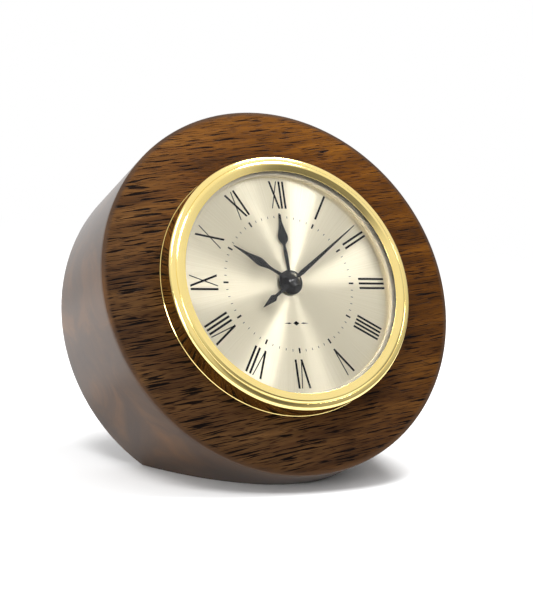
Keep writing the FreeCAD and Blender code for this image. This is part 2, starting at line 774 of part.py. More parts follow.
# hour wheel on its pipe, round the minute arbor
hour_phase = mesh_phase(MOTION, pinion_teeth, 0, CENTRE, hour_teeth)
hour_pipe = hour_room.value + wall
hour_shape = gear(hour_teeth, work, hour_phase, hour_wheel_low, work_thick)
hour_shape = hour_shape.fuse(rod(hour_pipe, hour_wheel_low, hour_low + boss))
hour_shape = hour_shape.cut(rod(hour_room.value, hour_wheel_low - 1, hour_low + boss + 1))
solid_piece("hour_wheel", hour_shape)

# alarm wheel on its pipe, round the hour pipe
alarm_wheel_low = size("alarm_wheel_low").value
alarm_pipe = alarm_room.value + wall
alarm_shape = gear(alarm_teeth, work, 0, alarm_wheel_low, work_thick)
alarm_shape = alarm_shape.fuse(rod(alarm_pipe, alarm_wheel_low, alarm_low + boss))
alarm_shape = alarm_shape.cut(rod(alarm_room.value, alarm_wheel_low - 1, alarm_low + boss + 1))
solid_piece("alarm_wheel", alarm_shape)

# alarm setting pinion and its arbor
setting_phase = mesh_phase(CENTRE, alarm_teeth, 0, SETTING, setting_teeth)
setting = gear(setting_teeth, work, setting_phase, alarm_wheel_low - mesh_play, work_thick + 2 * mesh_play)
setting = setting.fuse(rod(knob_arbor, knob_seat, alarm_wheel_low + work_thick + mesh_play))
setting = setting.fuse(rod(pivot, alarm_wheel_low, plate_top))
solid_piece("setting_pinion", setting, SETTING)

# going train between the middle and rear plates
train_top, step = size("train_top").value, size("train_step").value
train_thick, train_arbor = size("train_wheel_thick").value, size("train_arbor").value
small = size("train_pinion_teeth").value
middle_top = size("middle_plate_top").value
second_module = size("second_module").value
shoulder = size("pivot_gap").value


def train_piece(name, spot, level, teeth, module, phase, pinion_module, pinion_level):
    """A wheel with a pinion above or below it on one arbor that ends in two pivots."""
    low = train_top - level * step - train_thick
    pinion_low = train_top - pinion_level * step - train_thick - mesh_play
    shape = gear(teeth, module, phase, low, train_thick)
    shape = shape.fuse(gear(small, pinion_module, 0, pinion_low, train_thick + 2 * mesh_play))
    shape = shape.fuse(rod(train_arbor, rear_top + shoulder, middle_low.value - shoulder))
    shape = shape.fuse(rod(pivot, rear_hole_low, middle_top))
    return solid_piece(name, shape, spot)


third_teeth, second_teeth = size("third_teeth").value, size("second_teeth").value
between_teeth, centre_teeth = size("between_teeth").value, size("centre_teeth").value
third_phase = mesh_phase(SECOND, small, 0, THIRD, third_teeth)
second_phase = mesh_phase(BETWEEN, small, 0, SECOND, second_teeth)
between_phase = mesh_phase(ROTOR, small, 0, BETWEEN, between_teeth)
centre_phase = mesh_phase(THIRD, small, 0, CENTRE, centre_teeth)
centre_low = train_top - train_thick
centre_wheel = gear(centre_teeth, train, centre_phase, centre_low, train_thick)
centre_wheel = centre_wheel.fuse(rod(arbor + 2 * wall, centre_low - train_thick, train_top))
centre_wheel = centre_wheel.cut(rod(centre_hole.value, centre_low - 2, train_top + 2))
solid_piece("centre_wheel", centre_wheel)
train_piece("third_wheel", THIRD, 1, third_teeth, train, third_phase, train, 0)
train_piece("second_wheel", SECOND, 2, second_teeth, second_module, second_phase, train, 1)
train_piece("intermediate_wheel", BETWEEN, 3, between_teeth, train, between_phase, second_module, 2)

# rotor of the stepping motor, a pinion on an arbor with a ring magnet
rotor_pinion_low = train_top - 3 * step - train_thick - mesh_play
rotor_shape = gear(small, train, 0, rotor_pinion_low, train_thick + 2 * mesh_play)
rotor_shape = rotor_shape.fuse(rod(train_arbor, rear_top + shoulder, middle_low.value - shoulder))
rotor_shape = rotor_shape.fuse(rod(pivot, rear_hole_low, middle_top))
solid_piece("rotor_pinion", rotor_shape, ROTOR)
magnet = turn(new_body("rotor_magnet"), "magnet_turn", block(
    size("train_arbor"), size("magnet_radius"), size("rear_plate_top") + size("pipe_gap"),
    size("rear_plate_top") + size("pipe_gap") + size("magnet_height")))
place(magnet, *ROTOR)

# stator plate, from the rotor to both ends of the coil's core
stator_bore = size("magnet_radius") + size("stator_gap")
block_half = stator_bore + size("bobbin_flange") * 2.0
rotor_x, rotor_y = as_size(ROTOR[0]), as_size(ROTOR[1])
arm_left, arm_right = size("coil_x") - size("coil_margin"), size("coil_x") + size("coil_margin")
arm_bend = size("coil_x") - size("bobbin_radius") - size("loose_fit")
arm_width = size("core_width")
low_end, high_end = size("coil_low_y"), size("coil_high_y")
stator = new_body("stator")
raise_up(stator, "stator_plate", size("rear_plate_top"), size("stator_thick"), [[
    (rotor_x - block_half, rotor_y - block_half), (rotor_x + stator_bore, rotor_y - block_half),
    (arm_bend - arm_width, low_end - size("core_thick")), (arm_right, low_end - size("core_thick")),
    (arm_right, low_end + size("coil_margin")), (arm_bend, low_end + size("coil_margin")),
    (rotor_x + block_half + size("core_thick"), rotor_y - arm_width),
    (rotor_x + block_half + size("core_thick"), rotor_y + arm_width),
    (arm_bend, high_end - size("coil_margin")), (arm_right, high_end - size("coil_margin")),
    (arm_right, high_end + size("core_thick")), (arm_left, high_end + size("core_thick")),
    (rotor_x + block_half, rotor_y + block_half), (rotor_x - block_half, rotor_y + block_half)]],
    [(rotor_x, rotor_y, stator_bore)])
doc.recompute()
place(stator)

# coil on its core
core_low = size("rear_plate_top") + size("stator_thick")
core = raise_up(new_body("coil_core"), "core_bar", core_low, size("core_thick"), [block(
    size("coil_x") - size("core_width") / 2.0, size("coil_x") + size("core_width") / 2.0, low_end, high_end)])
place(core)
spool_low, spool_high = low_end + size("coil_margin") + size("slip_fit") * 2.0, \
    high_end - size("coil_margin") - size("slip_fit") * 2.0
spool_half = (spool_high - spool_low) / 2.0
bobbin = turn(new_body("coil_bobbin"), "bobbin_turn", [
    (ZERO, -spool_half), (size("bobbin_radius"), -spool_half),
    (size("bobbin_radius"), size("bobbin_flange") - spool_half),
    (size("barrel_radius"), size("bobbin_flange") - spool_half),
    (size("barrel_radius"), spool_half - size("bobbin_flange")),
    (size("bobbin_radius"), spool_half - size("bobbin_flange")), (size("bobbin_radius"), spool_half),
    (ZERO, spool_half)])
doc.recompute()
half_wide, half_thick = size("core_width") / 2.0, size("core_thick") / 2.0
cut_down(bobbin, "core_passage", spool_half, spool_half * 2.0,
         [block(-half_wide, half_wide, -half_thick, half_thick)])
spool_place = (size("coil_x"), (spool_low + spool_high) / 2.0, core_low + half_thick)
place(bobbin, *spool_place, ALONG_Y)
winding = turn(new_body("coil_winding"), "winding_turn", block(
    size("barrel_radius"), size("winding_radius"), size("bobbin_flange") - spool_half,
    spool_half - size("bobbin_flange")))
place(winding, *spool_place, ALONG_Y)

# circuit board with its crystal and chip
board_left = size("board_inset") - cup_in
board_outline = block(board_left, board_left + size("board_width"),
                      size("board_low"), size("board_low") + size("board_height"))
board = raise_up(new_body("circuit_board"), "board_plate", size("rear_plate_top"), size("board_thick"),
                 [board_outline])
place(board)
board_top = size("rear_plate_top") + size("board_thick")
crystal = turn(new_body("quartz_crystal"), "crystal_turn", block(
    ZERO, size("crystal_radius"), ZERO, size("crystal_length")))
place(crystal, board_left + size("crystal_radius") * 2.0, size("board_low") + size("crystal_radius"),
      board_top + size("crystal_radius"), ALONG_Y)
chip_dome = (size("chip_radius") * size("chip_radius") + size("chip_height") * size("chip_height")) \
    / (size("chip_height") * 2.0)
chip = turn(new_body("chip_cover"), "chip_turn", [
    (ZERO, board_top), (size("chip_radius"), board_top), (ZERO, board_top + size("chip_height"))],
    {1: (chip_dome, False)})
place(chip, board_left + size("board_width") - size("chip_radius") - size("crystal_radius"),
      size("board_low") + size("board_height") / 2.0)

# sounder disc on its rim
turned_piece("sounder_disc", block(
    ZERO, size("sounder_radius"), floor_in + size("sounder_rim"),
    floor_in + size("sounder_rim") + size("sounder_thick")), None, size("sounder_x"), size("sounder_y"))


# knobs with fluted edges, pressed on the two arbors
def knob(name, spot):
    body = turn(new_body(name), name + "_turn", [
        (ZERO, as_size(knob_low)), (size("knob_radius") - size("knob_flute"), as_size(knob_low)),
        (size("knob_radius"), as_size(knob_low) + size("knob_flute")),
        (size("knob_radius"), as_size(knob_high)),
        (size("knob_arbor"), as_size(knob_high)), (size("knob_arbor"), as_size(knob_seat)),
        (ZERO, as_size(knob_seat))])
    flutes = []
    for number in range(16):
        x, y = polar(CENTRE, size("knob_radius").value, 22.5 * number)
        flutes.append((x, y, size("knob_flute")))
    doc.recompute()
    cut_down(body, name + "_flutes", as_size(knob_high), size("knob_height"), rings=flutes)
    return place(body, *spot)


knob("time_knob", MOTION)
knob("alarm_knob", SETTING)

# alarm switch, a slider inside and a finger cap outside
switch_play = size("slip_fit")
plate_half, plate_long = size("switch_plate_width") / 2.0, size("switch_plate_length") / 2.0
cap_half, cap_long = size("switch_cap_width") / 2.0, size("switch_cap_length") / 2.0
slider = raise_up(new_body("switch_slider"), "slider_plate", floor_in + switch_play,
                  size("switch_plate_thick"), [block(-plate_half, plate_half, -plate_long, plate_long)])
place(slider, size("switch_x"), size("switch_y"))
button = raise_up(new_body("alarm_switch"), "switch_stem", floor_out - switch_play,
                  size("cup_floor") + switch_play * 2.0,
                  [block(-stem_half, stem_half, -stem_long, stem_long)])
cap_low = floor_out - switch_play - size("switch_cap_height")
raise_up(button, "switch_cap", cap_low, size("switch_cap_height"),
         [block(-cap_half, cap_half, -cap_long, cap_long)])
doc.recompute()
ridge = size("switch_ridge")
for number, side in enumerate((-1.0, 0.0, 1.0)):
    middle = size("switch_cap_length") / 4.0 * side
    raise_up(button, "switch_ridge_%d" % number, cap_low - ridge / 2.0, ridge / 2.0, [block(
        -cap_half, cap_half, middle - ridge / 2.0, middle + ridge / 2.0)])
place(button, size("switch_x"), size("switch_y"))

# battery, lying across the clock in its bay
battery_z = floor_in + size("battery_float") + size("battery_radius")
can_end, can_round = half_battery - size("battery_tip"), size("battery_round")
battery = turn(new_body("battery"), "battery_turn", [
    (ZERO, -half_battery), (size("battery_radius") - can_round, -half_battery),
    (size("battery_radius"), can_round - half_battery), (size("battery_radius"), can_end - can_round),
    (size("battery_radius") - can_round, can_end), (size("battery_tip_radius"), can_end),
    (size("battery_tip_radius"), half_battery), (ZERO, half_battery)])
place(battery, ZERO, battery_y, battery_z, ALONG_X)

# sheet contacts at the battery's ends
contact_low = floor_in + size("battery_float")
plus = raise_up(new_body("contact_plus"), "plus_plate", contact_low, size("contact_height"), [block(
    half_battery, plus_face, battery_y - half_contact, battery_y + half_contact)])
place(plus)
minus = raise_up(new_body("contact_minus"), "minus_plate", contact_low, size("contact_height"), [[
    (-minus_face, battery_y - half_contact),
    (-half_battery - size("spring_bow"), battery_y - half_contact),
    (-half_battery - size("slip_fit"), battery_y),
    (-half_battery - size("spring_bow"), battery_y + half_contact),
    (-minus_face, battery_y + half_contact),
    (-minus_face, battery_y + half_contact / 1.5),
    (-half_battery - size("contact_thick") - size("slip_fit"), battery_y),
    (-minus_face, battery_y - half_contact / 1.5)]])
place(minus)

# battery door, flush in the floor and hinged along its upper edge
door_play = size("door_gap")
door = raise_up(new_body("battery_door"), "door_plate", floor_out, size("cup_floor"), [block(
    door_play - door_half, door_half - door_play, door_low + door_play, door_high - door_play)])
half_knuckle = size("knuckle_length") / 2.0
arm_side = [(door_high - door_play - size("knuckle_radius") * 3.0, floor_out),
            (door_high - door_play - size("knuckle_radius") * 3.0, floor_out - size("door_grip")),
            (pin_y - size("knuckle_radius") / 2.0, pin_z - size("knuckle_radius") * 0.8),
            (pin_y - size("knuckle_radius") / 2.0, pin_z + size("knuckle_radius") * 0.8),
            (door_high - door_play, floor_out - size("knuckle_gap") / 2.0),
            (door_high - door_play, floor_out)]
arm = new_sketch(door, "door_arm_outline", "YZ_Plane", -half_knuckle)
draw(arm, arm_side)
arm_pad = door.newObject("PartDesign::Pad", "door_arm")
arm_pad.Profile = arm
arm_pad.setExpression("Length", size("knuckle_length").formula)
knuckle = new_sketch(door, "knuckle_outline", "YZ_Plane", -half_knuckle)
ring(knuckle, pin_y, pin_z, size("knuckle_radius"))
knuckle_pad = door.newObject("PartDesign::Pad", "knuckle")
knuckle_pad.Profile = knuckle
knuckle_pad.setExpression("Length", size("knuckle_length").formula)
bore = new_sketch(door, "knuckle_bore_outline", "YZ_Plane", -half_knuckle)
ring(bore, pin_y, pin_z, size("door_pin_radius") + size("pivot_gap"))
bore_cut = door.newObject("PartDesign::Pocket", "knuckle_bore")
bore_cut.Profile = bore
bore_cut.Reversed = True
bore_cut.setExpression("Length", size("knuckle_length").formula)
raise_up(door, "door_tab", floor_out - size("door_grip"), size("door_grip"), [block(
    -size("knuckle_radius") * 5.0, size("knuckle_radius") * 5.0, door_low + size("knuckle_radius"),
    door_low + size("knuckle_radius") * 2.0)])
doc.recompute()
place(door)
pin = turn(new_body("door_pin"), "pin_turn", block(ZERO, size("door_pin_radius"), -lug_outer, lug_outer))
place(pin, ZERO, pin_y, pin_z, ALONG_X)


# hands, each a stamped blade on a boss; a blade's outline is given at a few stations along it
def hand_blade(length, width, stations, low, smooth):
    """A blade whose half width is a share of its widest at shares of its length, mirrored and extruded."""
    rows = [(size(length).value * along, size(width).value / 2 * half) for along, half in stations]
    right = [FreeCAD.Vector(half, along, low) for along, half in rows]
    left = [FreeCAD.Vector(-half, along, low) for along, half in rows]
    if smooth:
        edges = []
        for side in (right, left):
            curve = Part.BSplineCurve()
            curve.interpolate(side)
            edges.append(curve.toShape())
    else:
        edges = [Part.makePolygon(right), Part.makePolygon(left)]
    edges.append(Part.makeLine(right[0], left[0]))
    edges.append(Part.makeLine(right[-1], left[-1]))
    parts = []
    for edge in edges:
        parts.extend(edge.Edges)
    wire = Part.Wire(Part.__sortEdges__(parts))
    return Part.Face(wire).extrude(FreeCAD.Vector(0, 0, size("blade_thick").value))


def hand(name, blades, boss_radius, low, hole, degrees):
    """A boss on its pipe with one or two blades, turned clockwise from twelve."""
    shape = rod(boss_radius, low, low + boss)
    rim = [edge for edge in shape.Edges if edge.BoundBox.ZMin > low + boss / 2]
    shape = shape.makeFillet(size("boss_round").value, rim)
    for blade in blades:
        shape = shape.fuse(blade)
    shape = shape.cut(rod(hole, low - 1, low + boss + 1))
    piece = solid_piece(name, shape)
    turned = FreeCAD.Rotation(FreeCAD.Vector(0, 0, 1), -degrees)
    piece.Placement = CLOCK.multiply(FreeCAD.Placement(FreeCAD.Vector(0, 0, 0), turned))


alarm_blade = hand_blade("alarm_length", "alarm_width", [
    (0.10, 0.31), (0.22, 0.30), (0.31, 0.31), (0.43, 0.34), (0.50, 0.25), (0.53, 0.23), (0.557, 0.38),
    (0.595, 0.80), (0.65, 1.0), (0.73, 0.76), (0.81, 0.47), (0.885, 0.28), (0.97, 0.17), (1.0, 0.08)],
    alarm_low + lift, True)
hour_blade = hand_blade("hour_length", "hour_width", [
    (0.10, 0.43), (0.24, 0.41), (0.38, 0.39), (0.43, 0.55), (0.53, 1.0), (0.62, 0.90), (0.70, 0.60),
    (0.85, 0.30), (1.0, 0.08)], hour_low + lift, True)
minute_blade = hand_blade("minute_length", "minute_width", [
    (0.05, 0.72), (0.10, 0.80), (0.14, 1.0), (1.0, 0.16)], minute_low + lift, False)
tail_blade = hand_blade("minute_tail", "tail_width", [
    (0.12, 0.44), (0.58, 0.42), (0.62, 0.79), (0.67, 1.0), (1.0, 0.08)], minute_low + lift, False)
tail_blade.rotate(FreeCAD.Vector(0, 0, 0), FreeCAD.Vector(0, 0, 1), 180)
hand("alarm_hand", [alarm_blade], size("alarm_boss").value, alarm_low, alarm_pipe, size("alarm_turn").value)
hand("hour_hand", [hour_blade], size("hour_boss").value, hour_low, hour_pipe, size("hour_turn").value)
hand("minute_hand", [minute_blade, tail_blade], size("minute_boss").value, minute_low, arbor,
     size("minute_turn").value)
cap_base = as_size(minute_low + boss)
turned_piece("hand_cap", [
    (ZERO, cap_base), (size("cap_radius"), cap_base), (size("cap_radius"), cap_base + size("cap_skirt")),
    (size("cap_tip"), cap_base + size("cap_height")), (ZERO, cap_base + size("cap_height"))])

doc.recompute()
faults = []
for item in doc.Objects:
    if "Invalid" in item.State or "Error" in item.State:
        faults.append("%s: %s" % (item.Name, item.State))
for piece in pieces:
    if piece.Shape.isNull() or not piece.Shape.isValid():
        faults.append(piece.Label + " has no valid shape")
if faults:
    raise SystemExit("\n".join(faults))
os.makedirs("parts", exist_ok=True)
for piece in pieces:
    piece.Shape.exportStep("parts/%s.step" % piece.Label)
    print("%-20s %2d solid  %9.2f mm3" % (piece.Label, len(piece.Shape.Solids), piece.Shape.Volume))
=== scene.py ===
import json
import bmesh
import bpy
import numpy as np
from mathutils import Matrix, Vector


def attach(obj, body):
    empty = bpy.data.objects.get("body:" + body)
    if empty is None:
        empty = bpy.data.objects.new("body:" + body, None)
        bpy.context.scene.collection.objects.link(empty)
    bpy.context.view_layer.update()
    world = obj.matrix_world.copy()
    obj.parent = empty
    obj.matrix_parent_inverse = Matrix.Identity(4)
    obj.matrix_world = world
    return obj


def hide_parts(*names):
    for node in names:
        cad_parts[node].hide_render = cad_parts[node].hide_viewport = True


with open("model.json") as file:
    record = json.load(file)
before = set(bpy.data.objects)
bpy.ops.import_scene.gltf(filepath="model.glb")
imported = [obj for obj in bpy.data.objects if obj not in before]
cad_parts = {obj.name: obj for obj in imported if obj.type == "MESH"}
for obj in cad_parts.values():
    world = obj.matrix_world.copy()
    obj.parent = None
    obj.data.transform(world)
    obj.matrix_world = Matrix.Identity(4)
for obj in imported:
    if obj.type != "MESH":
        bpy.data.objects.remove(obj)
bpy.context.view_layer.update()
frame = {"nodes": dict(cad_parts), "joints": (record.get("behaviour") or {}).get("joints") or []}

# Stage: a pale floor, a white room, soft lamps and the camera in front and to the left.
# The clock's own frame comes from the hands' joint, whose place is the middle of the
# wood's face and whose axis points into the block.
turning = {joint["name"]: joint for joint in frame["joints"]}["minute_turn"]
FACE = np.array(turning["pos_m"])
OUT = -np.array(turning["axis"])
ACROSS = np.array([1.0, 0.0, 0.0])
UP = np.cross(OUT, ACROSS)
MM = 0.001
WHITE = (1.0, 1.0, 1.0, 1.0)
scene = bpy.context.scene
scene.view_settings.view_transform = "Standard"


def in_place(points):
    """Takes points in millimetres on the clock's axes, x across, y towards twelve
    and z out of the face, to metres in the frame of the whole model."""
    along = np.stack([ACROSS, UP, OUT])
    return FACE + MM * np.asarray(points, float) @ along


def node(kind, feeds, **choices):
    """Adds a shader node to the tree in hand. feeds gives its inputs by name or
    number, each a link or a plain value, and choices its settings."""
    made = tree.nodes.new("ShaderNode" + kind)
    for choice, value in choices.items():
        setattr(made, choice, value)
    for name, value in feeds.items():
        if isinstance(value, bpy.types.NodeSocket):
            tree.links.new(value, made.inputs[name])
        else:
            made.inputs[name].default_value = value
    return made


def finish(name, colour, feeds):
    """Makes a new material with that colour and the shader's other constants, and
    gives it with its shader and its tree, so that nodes can be added."""
    material = bpy.data.materials.new(name)
    material.use_nodes = True
    shader = material.node_tree.nodes["Principled BSDF"]
    shader.inputs["Base Color"].default_value = (*colour, 1.0)
    for socket, value in feeds.items():
        shader.inputs[socket].default_value = value
    return material, shader, material.node_tree


def worked(how, *values):
    """One step of arithmetic on links or plain numbers."""
    return node("Math", dict(enumerate(values)), operation=how).outputs[0]


def vector(how, *values):
    """One step of vector arithmetic. A length or a dot product gives a number."""
    made = node("VectorMath", dict(enumerate(values)), operation=how)
    return made.outputs["Value" if how in ("LENGTH", "DOT_PRODUCT") else "Vector"]


def own_place():
    """The object coordinates, in metres on the whole model's axes."""
    return node("TexCoord", {}).outputs["Object"]


def ramp(value, stops):
    """A colour ramp over value, with (place, colour) stops."""
    made = node("ValToRGB", {0: value})
    steps = made.color_ramp.elements
    while len(steps) < len(stops):
        steps.new(0.5)
    for step, (at, colour) in zip(steps, stops):
        step.position = at
        step.color = (*colour, 1.0)
    return made.outputs["Color"]


def mixed(share, first, second, how="MIX"):
    """Two colours mixed by a share, or multiplied where how says so."""
    made = node("Mix", {0: share, 6: first, 7: second}, data_type="RGBA", blend_type=how)
    return made.outputs[2]


def spread(value, low, high, new_low=0.0, new_high=1.0, soft=True):
    """Takes a value from one range to another, smoothly or in a straight line."""
    ranges = {"Value": value, "From Min": low, "From Max": high,
              "To Min": new_low, "To Max": new_high}
    way = "SMOOTHSTEP" if soft else "LINEAR"
    return node("MapRange", ranges, interpolation_type=way).outputs["Result"]


def any_of(light_path, rays):
    """1 where the ray is one of those kinds: the largest of their flags."""
    flag = light_path.outputs[rays[0]]
    for ray in rays[1:]:
        flag = worked("MAXIMUM", flag, light_path.outputs[ray])
    return flag


FLOOR_HALF, FLOOR_GREY = 3.0, 0.78
WHITE_RAYS = ["Is Camera Ray", "Is Glossy Ray", "Is Transmission Ray"]
FLOOR_NEAR, FLOOR_FAR = 0.17, 0.62
floor_mesh = bpy.data.meshes.new("studio_floor")
floor_corners = FLOOR_HALF * np.array([(-1, -1, 0), (1, -1, 0), (1, 1, 0), (-1, 1, 0)])
floor_mesh.from_pydata(floor_corners, [], [(0, 1, 2, 3)])
studio_floor = bpy.data.objects.new("studio_floor", floor_mesh)
scene.collection.objects.link(studio_floor)
floor_paint, shader, tree = finish("floor_paint", [FLOOR_GREY] * 3,
                                   {"Roughness": 0.9, "Specular IOR Level": 0.1})
fade = spread(vector("LENGTH", own_place()), FLOOR_NEAR, FLOOR_FAR)
far_white = worked("MULTIPLY", fade, any_of(node("LightPath", {}), WHITE_RAYS))
glow = node("Emission", {"Color": WHITE})
blend = node("MixShader", {0: far_white, 1: shader.outputs["BSDF"], 2: glow.outputs["Emission"]})
tree.links.new(blend.outputs["Shader"], tree.nodes["Material Output"].inputs["Surface"])
floor_mesh.materials.append(floor_paint)

# The room's tone goes by height for reflected light, turns white behind the clock,
# and holds a dark card that only gloss shows.
ROOM_TONES = [(0.25, 0.55), (0.48, 0.20), (0.60, 0.52), (0.76, 0.95), (1.0, 1.0)]
BACKDROP_FROM, BACKDROP_TO = 0.05, 0.55
CARD_WAY = (0.302, -0.882, 0.359)
CARD_EDGE, CARD_HEART = 0.955, 0.985
CARD_DARKNESS = 0.72
room = bpy.data.worlds.new("white_room")
scene.world = room
room.use_nodes = True
tree = room.node_tree
light_path = node("LightPath", {})
looking = node("TexCoord", {}).outputs["Generated"]
ways = node("SeparateXYZ", {0: looking})
share_up = spread(ways.outputs["Z"], -1.0, 1.0, soft=False)
walls = ramp(share_up, [(at, (tone, tone, tone)) for at, tone in ROOM_TONES])
card = spread(vector("DOT_PRODUCT", looking, CARD_WAY), CARD_EDGE, CARD_HEART)
card_shade = worked("MULTIPLY", card, CARD_DARKNESS)
card_seen = worked("MULTIPLY", card_shade, light_path.outputs["Is Glossy Ray"])
behind = spread(ways.outputs["Y"], BACKDROP_FROM, BACKDROP_TO)
lit_room = tree.nodes["Background"]
tree.links.new(mixed(behind, walls, WHITE), lit_room.inputs["Color"])
tree.links.new(worked("SUBTRACT", 1.0, card_seen), lit_room.inputs["Strength"])
white_room = node("Background", {"Color": WHITE, "Strength": 1.0})
blend = node("MixShader", {0: light_path.outputs["Is Camera Ray"],
                           1: lit_room.outputs["Background"],
                           2: white_room.outputs["Background"]})
tree.links.new(blend.outputs["Shader"], tree.nodes["World Output"].inputs["Surface"])


def lamp(name, way, distance, across, watts):
    """A square soft lamp of that width, that far away in a direction from the clock
    and facing it."""
    light = bpy.data.lights.new(name, "AREA")
    light.size = across
    light.energy = watts
    holder = bpy.data.objects.new(name, light)
    scene.collection.objects.link(holder)
    way = Vector(way).normalized()
    holder.location = Vector(FACE) + way * distance
    holder.rotation_euler = way.to_track_quat("Z", "Y").to_euler()


lamp("overhead_lamp", (0.373, 0.092, 0.923), 0.95, 0.30, 9.0)
lamp("high_left_lamp", (-0.404, -0.321, 0.857), 0.95, 0.30, 5.2)
lamp("low_left_lamp", (-0.807, -0.552, 0.212), 0.85, 0.22, 3.6)

AZIMUTH, ELEVATION, ROLL = np.radians([-26.76, 8.186, 4.314])
DISTANCE, SIDEWAYS, UPWARDS = 0.389022, -0.004488, -0.002653
FOCAL_PIXELS = 1456.211
FRAME_PIXELS = 595.0
SENSOR_WIDTH = 36.0
back = np.array([np.sin(AZIMUTH) * np.cos(ELEVATION),
                 -np.cos(AZIMUTH) * np.cos(ELEVATION), np.sin(ELEVATION)])
level_right = np.array([np.cos(AZIMUTH), np.sin(AZIMUTH), 0.0])
level_up = np.cross(back, level_right)
right = level_right * np.cos(ROLL) + level_up * np.sin(ROLL)
upright = level_up * np.cos(ROLL) - level_right * np.sin(ROLL)
camera = bpy.data.cameras.new("camera")
camera.sensor_width = SENSOR_WIDTH
camera.lens = FOCAL_PIXELS * SENSOR_WIDTH / FRAME_PIXELS
camera.clip_start = 0.01
tripod = bpy.data.objects.new("camera", camera)
scene.collection.objects.link(tripod)
pose = np.eye(4)
pose[:3, :3] = np.stack([right, upright, back], 1)
pose[:3, 3] = FACE + back * DISTANCE + right * SIDEWAYS + upright * UPWARDS
tripod.matrix_world = Matrix(pose.tolist())
scene.camera = tripod

# Block: a thick slice of dark open-grained hardwood, turned round, bored through
# for the insert and planed off underneath, so that it stands leaning back. The
# wood is sanded, stained and oiled to a satin finish, and its side is polished.
BLOCK_RADIUS = 51.0
BLOCK_BACK = -34.0
BORE_RADIUS = 31.1
EDGE_ROUND, EDGE_STEPS = 0.5, 3
WALL_ROWS, FLAT_COLUMNS, ROUND_COLUMNS = 36, 25, 233
LEAST_FLAT = np.radians(0.5)
LEAN_SIN, LEAN_COS = OUT[2], UP[2]


def softened(points, rounds, steps=4, closed=True):
    """Rounds the corners of a profile: each corner P with a round above zero
    becomes the curve (1-t)^2 A + 2t(1-t) P + t^2 B, where A and B lie on its two
    sides at that distance from P. A corner with no round stays one point."""
    points = np.asarray(points, float)
    rounds = np.broadcast_to(np.asarray(rounds, float), len(points)).copy()
    if not closed:
        rounds[0] = rounds[-1] = 0.0
    back_way = np.roll(points, 1, 0) - points
    on_way = np.roll(points, -1, 0) - points
    back_way /= np.linalg.norm(back_way, axis=1, keepdims=True)
    on_way /= np.linalg.norm(on_way, axis=1, keepdims=True)
    t = np.linspace(0.0, 1.0, steps + 1)[None, :, None]
    start = (points + back_way * rounds[:, None])[:, None]
    end = (points + on_way * rounds[:, None])[:, None]
    curve = (1 - t) ** 2 * start + 2 * t * (1 - t) * points[:, None] + t ** 2 * end
    keep = np.ones(curve.shape[:2], bool)
    keep[rounds == 0.0, 1:] = False
    return curve[keep]


def skin(name, grid, wrap_rows=True, smooth_to=30.0):
    """Makes a closed mesh from a grid of points in millimetres on the clock's
    axes. The face between rows i, i+1 and columns j, j+1 joins their four points,
    and the last column, and the last row where it wraps, joins the first. Points
    that meet at a pole are merged, and edges over smooth_to degrees stay sharp."""
    rows, columns = grid.shape[:2]
    number = np.arange(rows * columns).reshape(rows, columns)
    down = np.roll(number, -1, 0) if wrap_rows else number[1:]
    top = number if wrap_rows else number[:-1]
    faces = np.stack([top, np.roll(top, -1, 1), np.roll(down, -1, 1), down], 2)
    mesh = bpy.data.meshes.new(name)
    mesh.from_pydata(in_place(grid.reshape(-1, 3)), [], faces.reshape(-1, 4).tolist())
    solid = bmesh.new()
    solid.from_mesh(mesh)
    bmesh.ops.remove_doubles(solid, verts=solid.verts, dist=1e-7)
    bmesh.ops.recalc_face_normals(solid, faces=solid.faces)
    solid.to_mesh(mesh)
    solid.free()
    mesh.polygons.foreach_set("use_smooth", np.ones(len(mesh.polygons), bool))
    mesh.set_sharp_from_angle(angle=np.radians(smooth_to))
    piece = bpy.data.objects.new(name, mesh)
    scene.collection.objects.link(piece)
    return piece


def fitted(piece, body, slot, material, *stands_for):
    """Fastens a new piece to its body, gives it its finish and hides what it stands for."""
    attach(piece, body)
    if stands_for:
        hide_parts(*stands_for)
    piece.data.materials.append(material)
    return piece


# At each depth the slice is a circle cut by the plane of its underside: the reach at
# a turn from the lowest point is the radius or drop / cos(turn), whichever is less,
# and the turns are shared out so that a column lies on each edge of the cut.
block_profile = softened([(BORE_RADIUS, 0.0), (BLOCK_RADIUS, 0.0),
                          (BLOCK_RADIUS, BLOCK_BACK), (BORE_RADIUS, BLOCK_BACK)],
                         [0.0, EDGE_ROUND, EDGE_ROUND, 0.0], steps=EDGE_STEPS)
front, rear = np.split(block_profile, [EDGE_STEPS + 2])
wall_share = np.linspace(0.0, 1.0, WALL_ROWS)[1:-1, None]
block_profile = np.concatenate([front, front[-1] + wall_share * (rear[0] - front[-1]), rear])
radius, depth = block_profile[:, :1], block_profile[:, 1:]
floor_drop = (FACE[2] / MM + depth * LEAN_SIN) / LEAN_COS
half_flat = np.arccos(np.clip(floor_drop / radius, -1.0, np.cos(LEAST_FLAT)))
flat_part = np.linspace(-1.0, 1.0, FLAT_COLUMNS)
round_part = np.linspace(0.0, 1.0, ROUND_COLUMNS)[1:-1]
round_turn = half_flat + (2 * np.pi - 2 * half_flat) * round_part
turn = np.concatenate([half_flat * flat_part, round_turn], 1)
planed = floor_drop / np.maximum(np.cos(turn), 1e-6)
reach = np.where(np.cos(turn) > 0, np.minimum(radius, planed), radius)
wooden_block = skin("wooden_block", np.stack(
    [reach * np.sin(turn), -reach * np.cos(turn), depth + 0 * turn], 2))

GRAIN_RISE = 9.0
SIDE_FROM, SIDE_TO = 0.0494, 0.0507
AMBER_WAY = (0.7, 0.7, 0.0)
AMBER_OPENING = 0.065
walnut, shader, tree = finish("oiled_walnut", (0.12, 0.05, 0.02),
                              {"Coat Roughness": 0.24, "Specular IOR Level": 0.04})


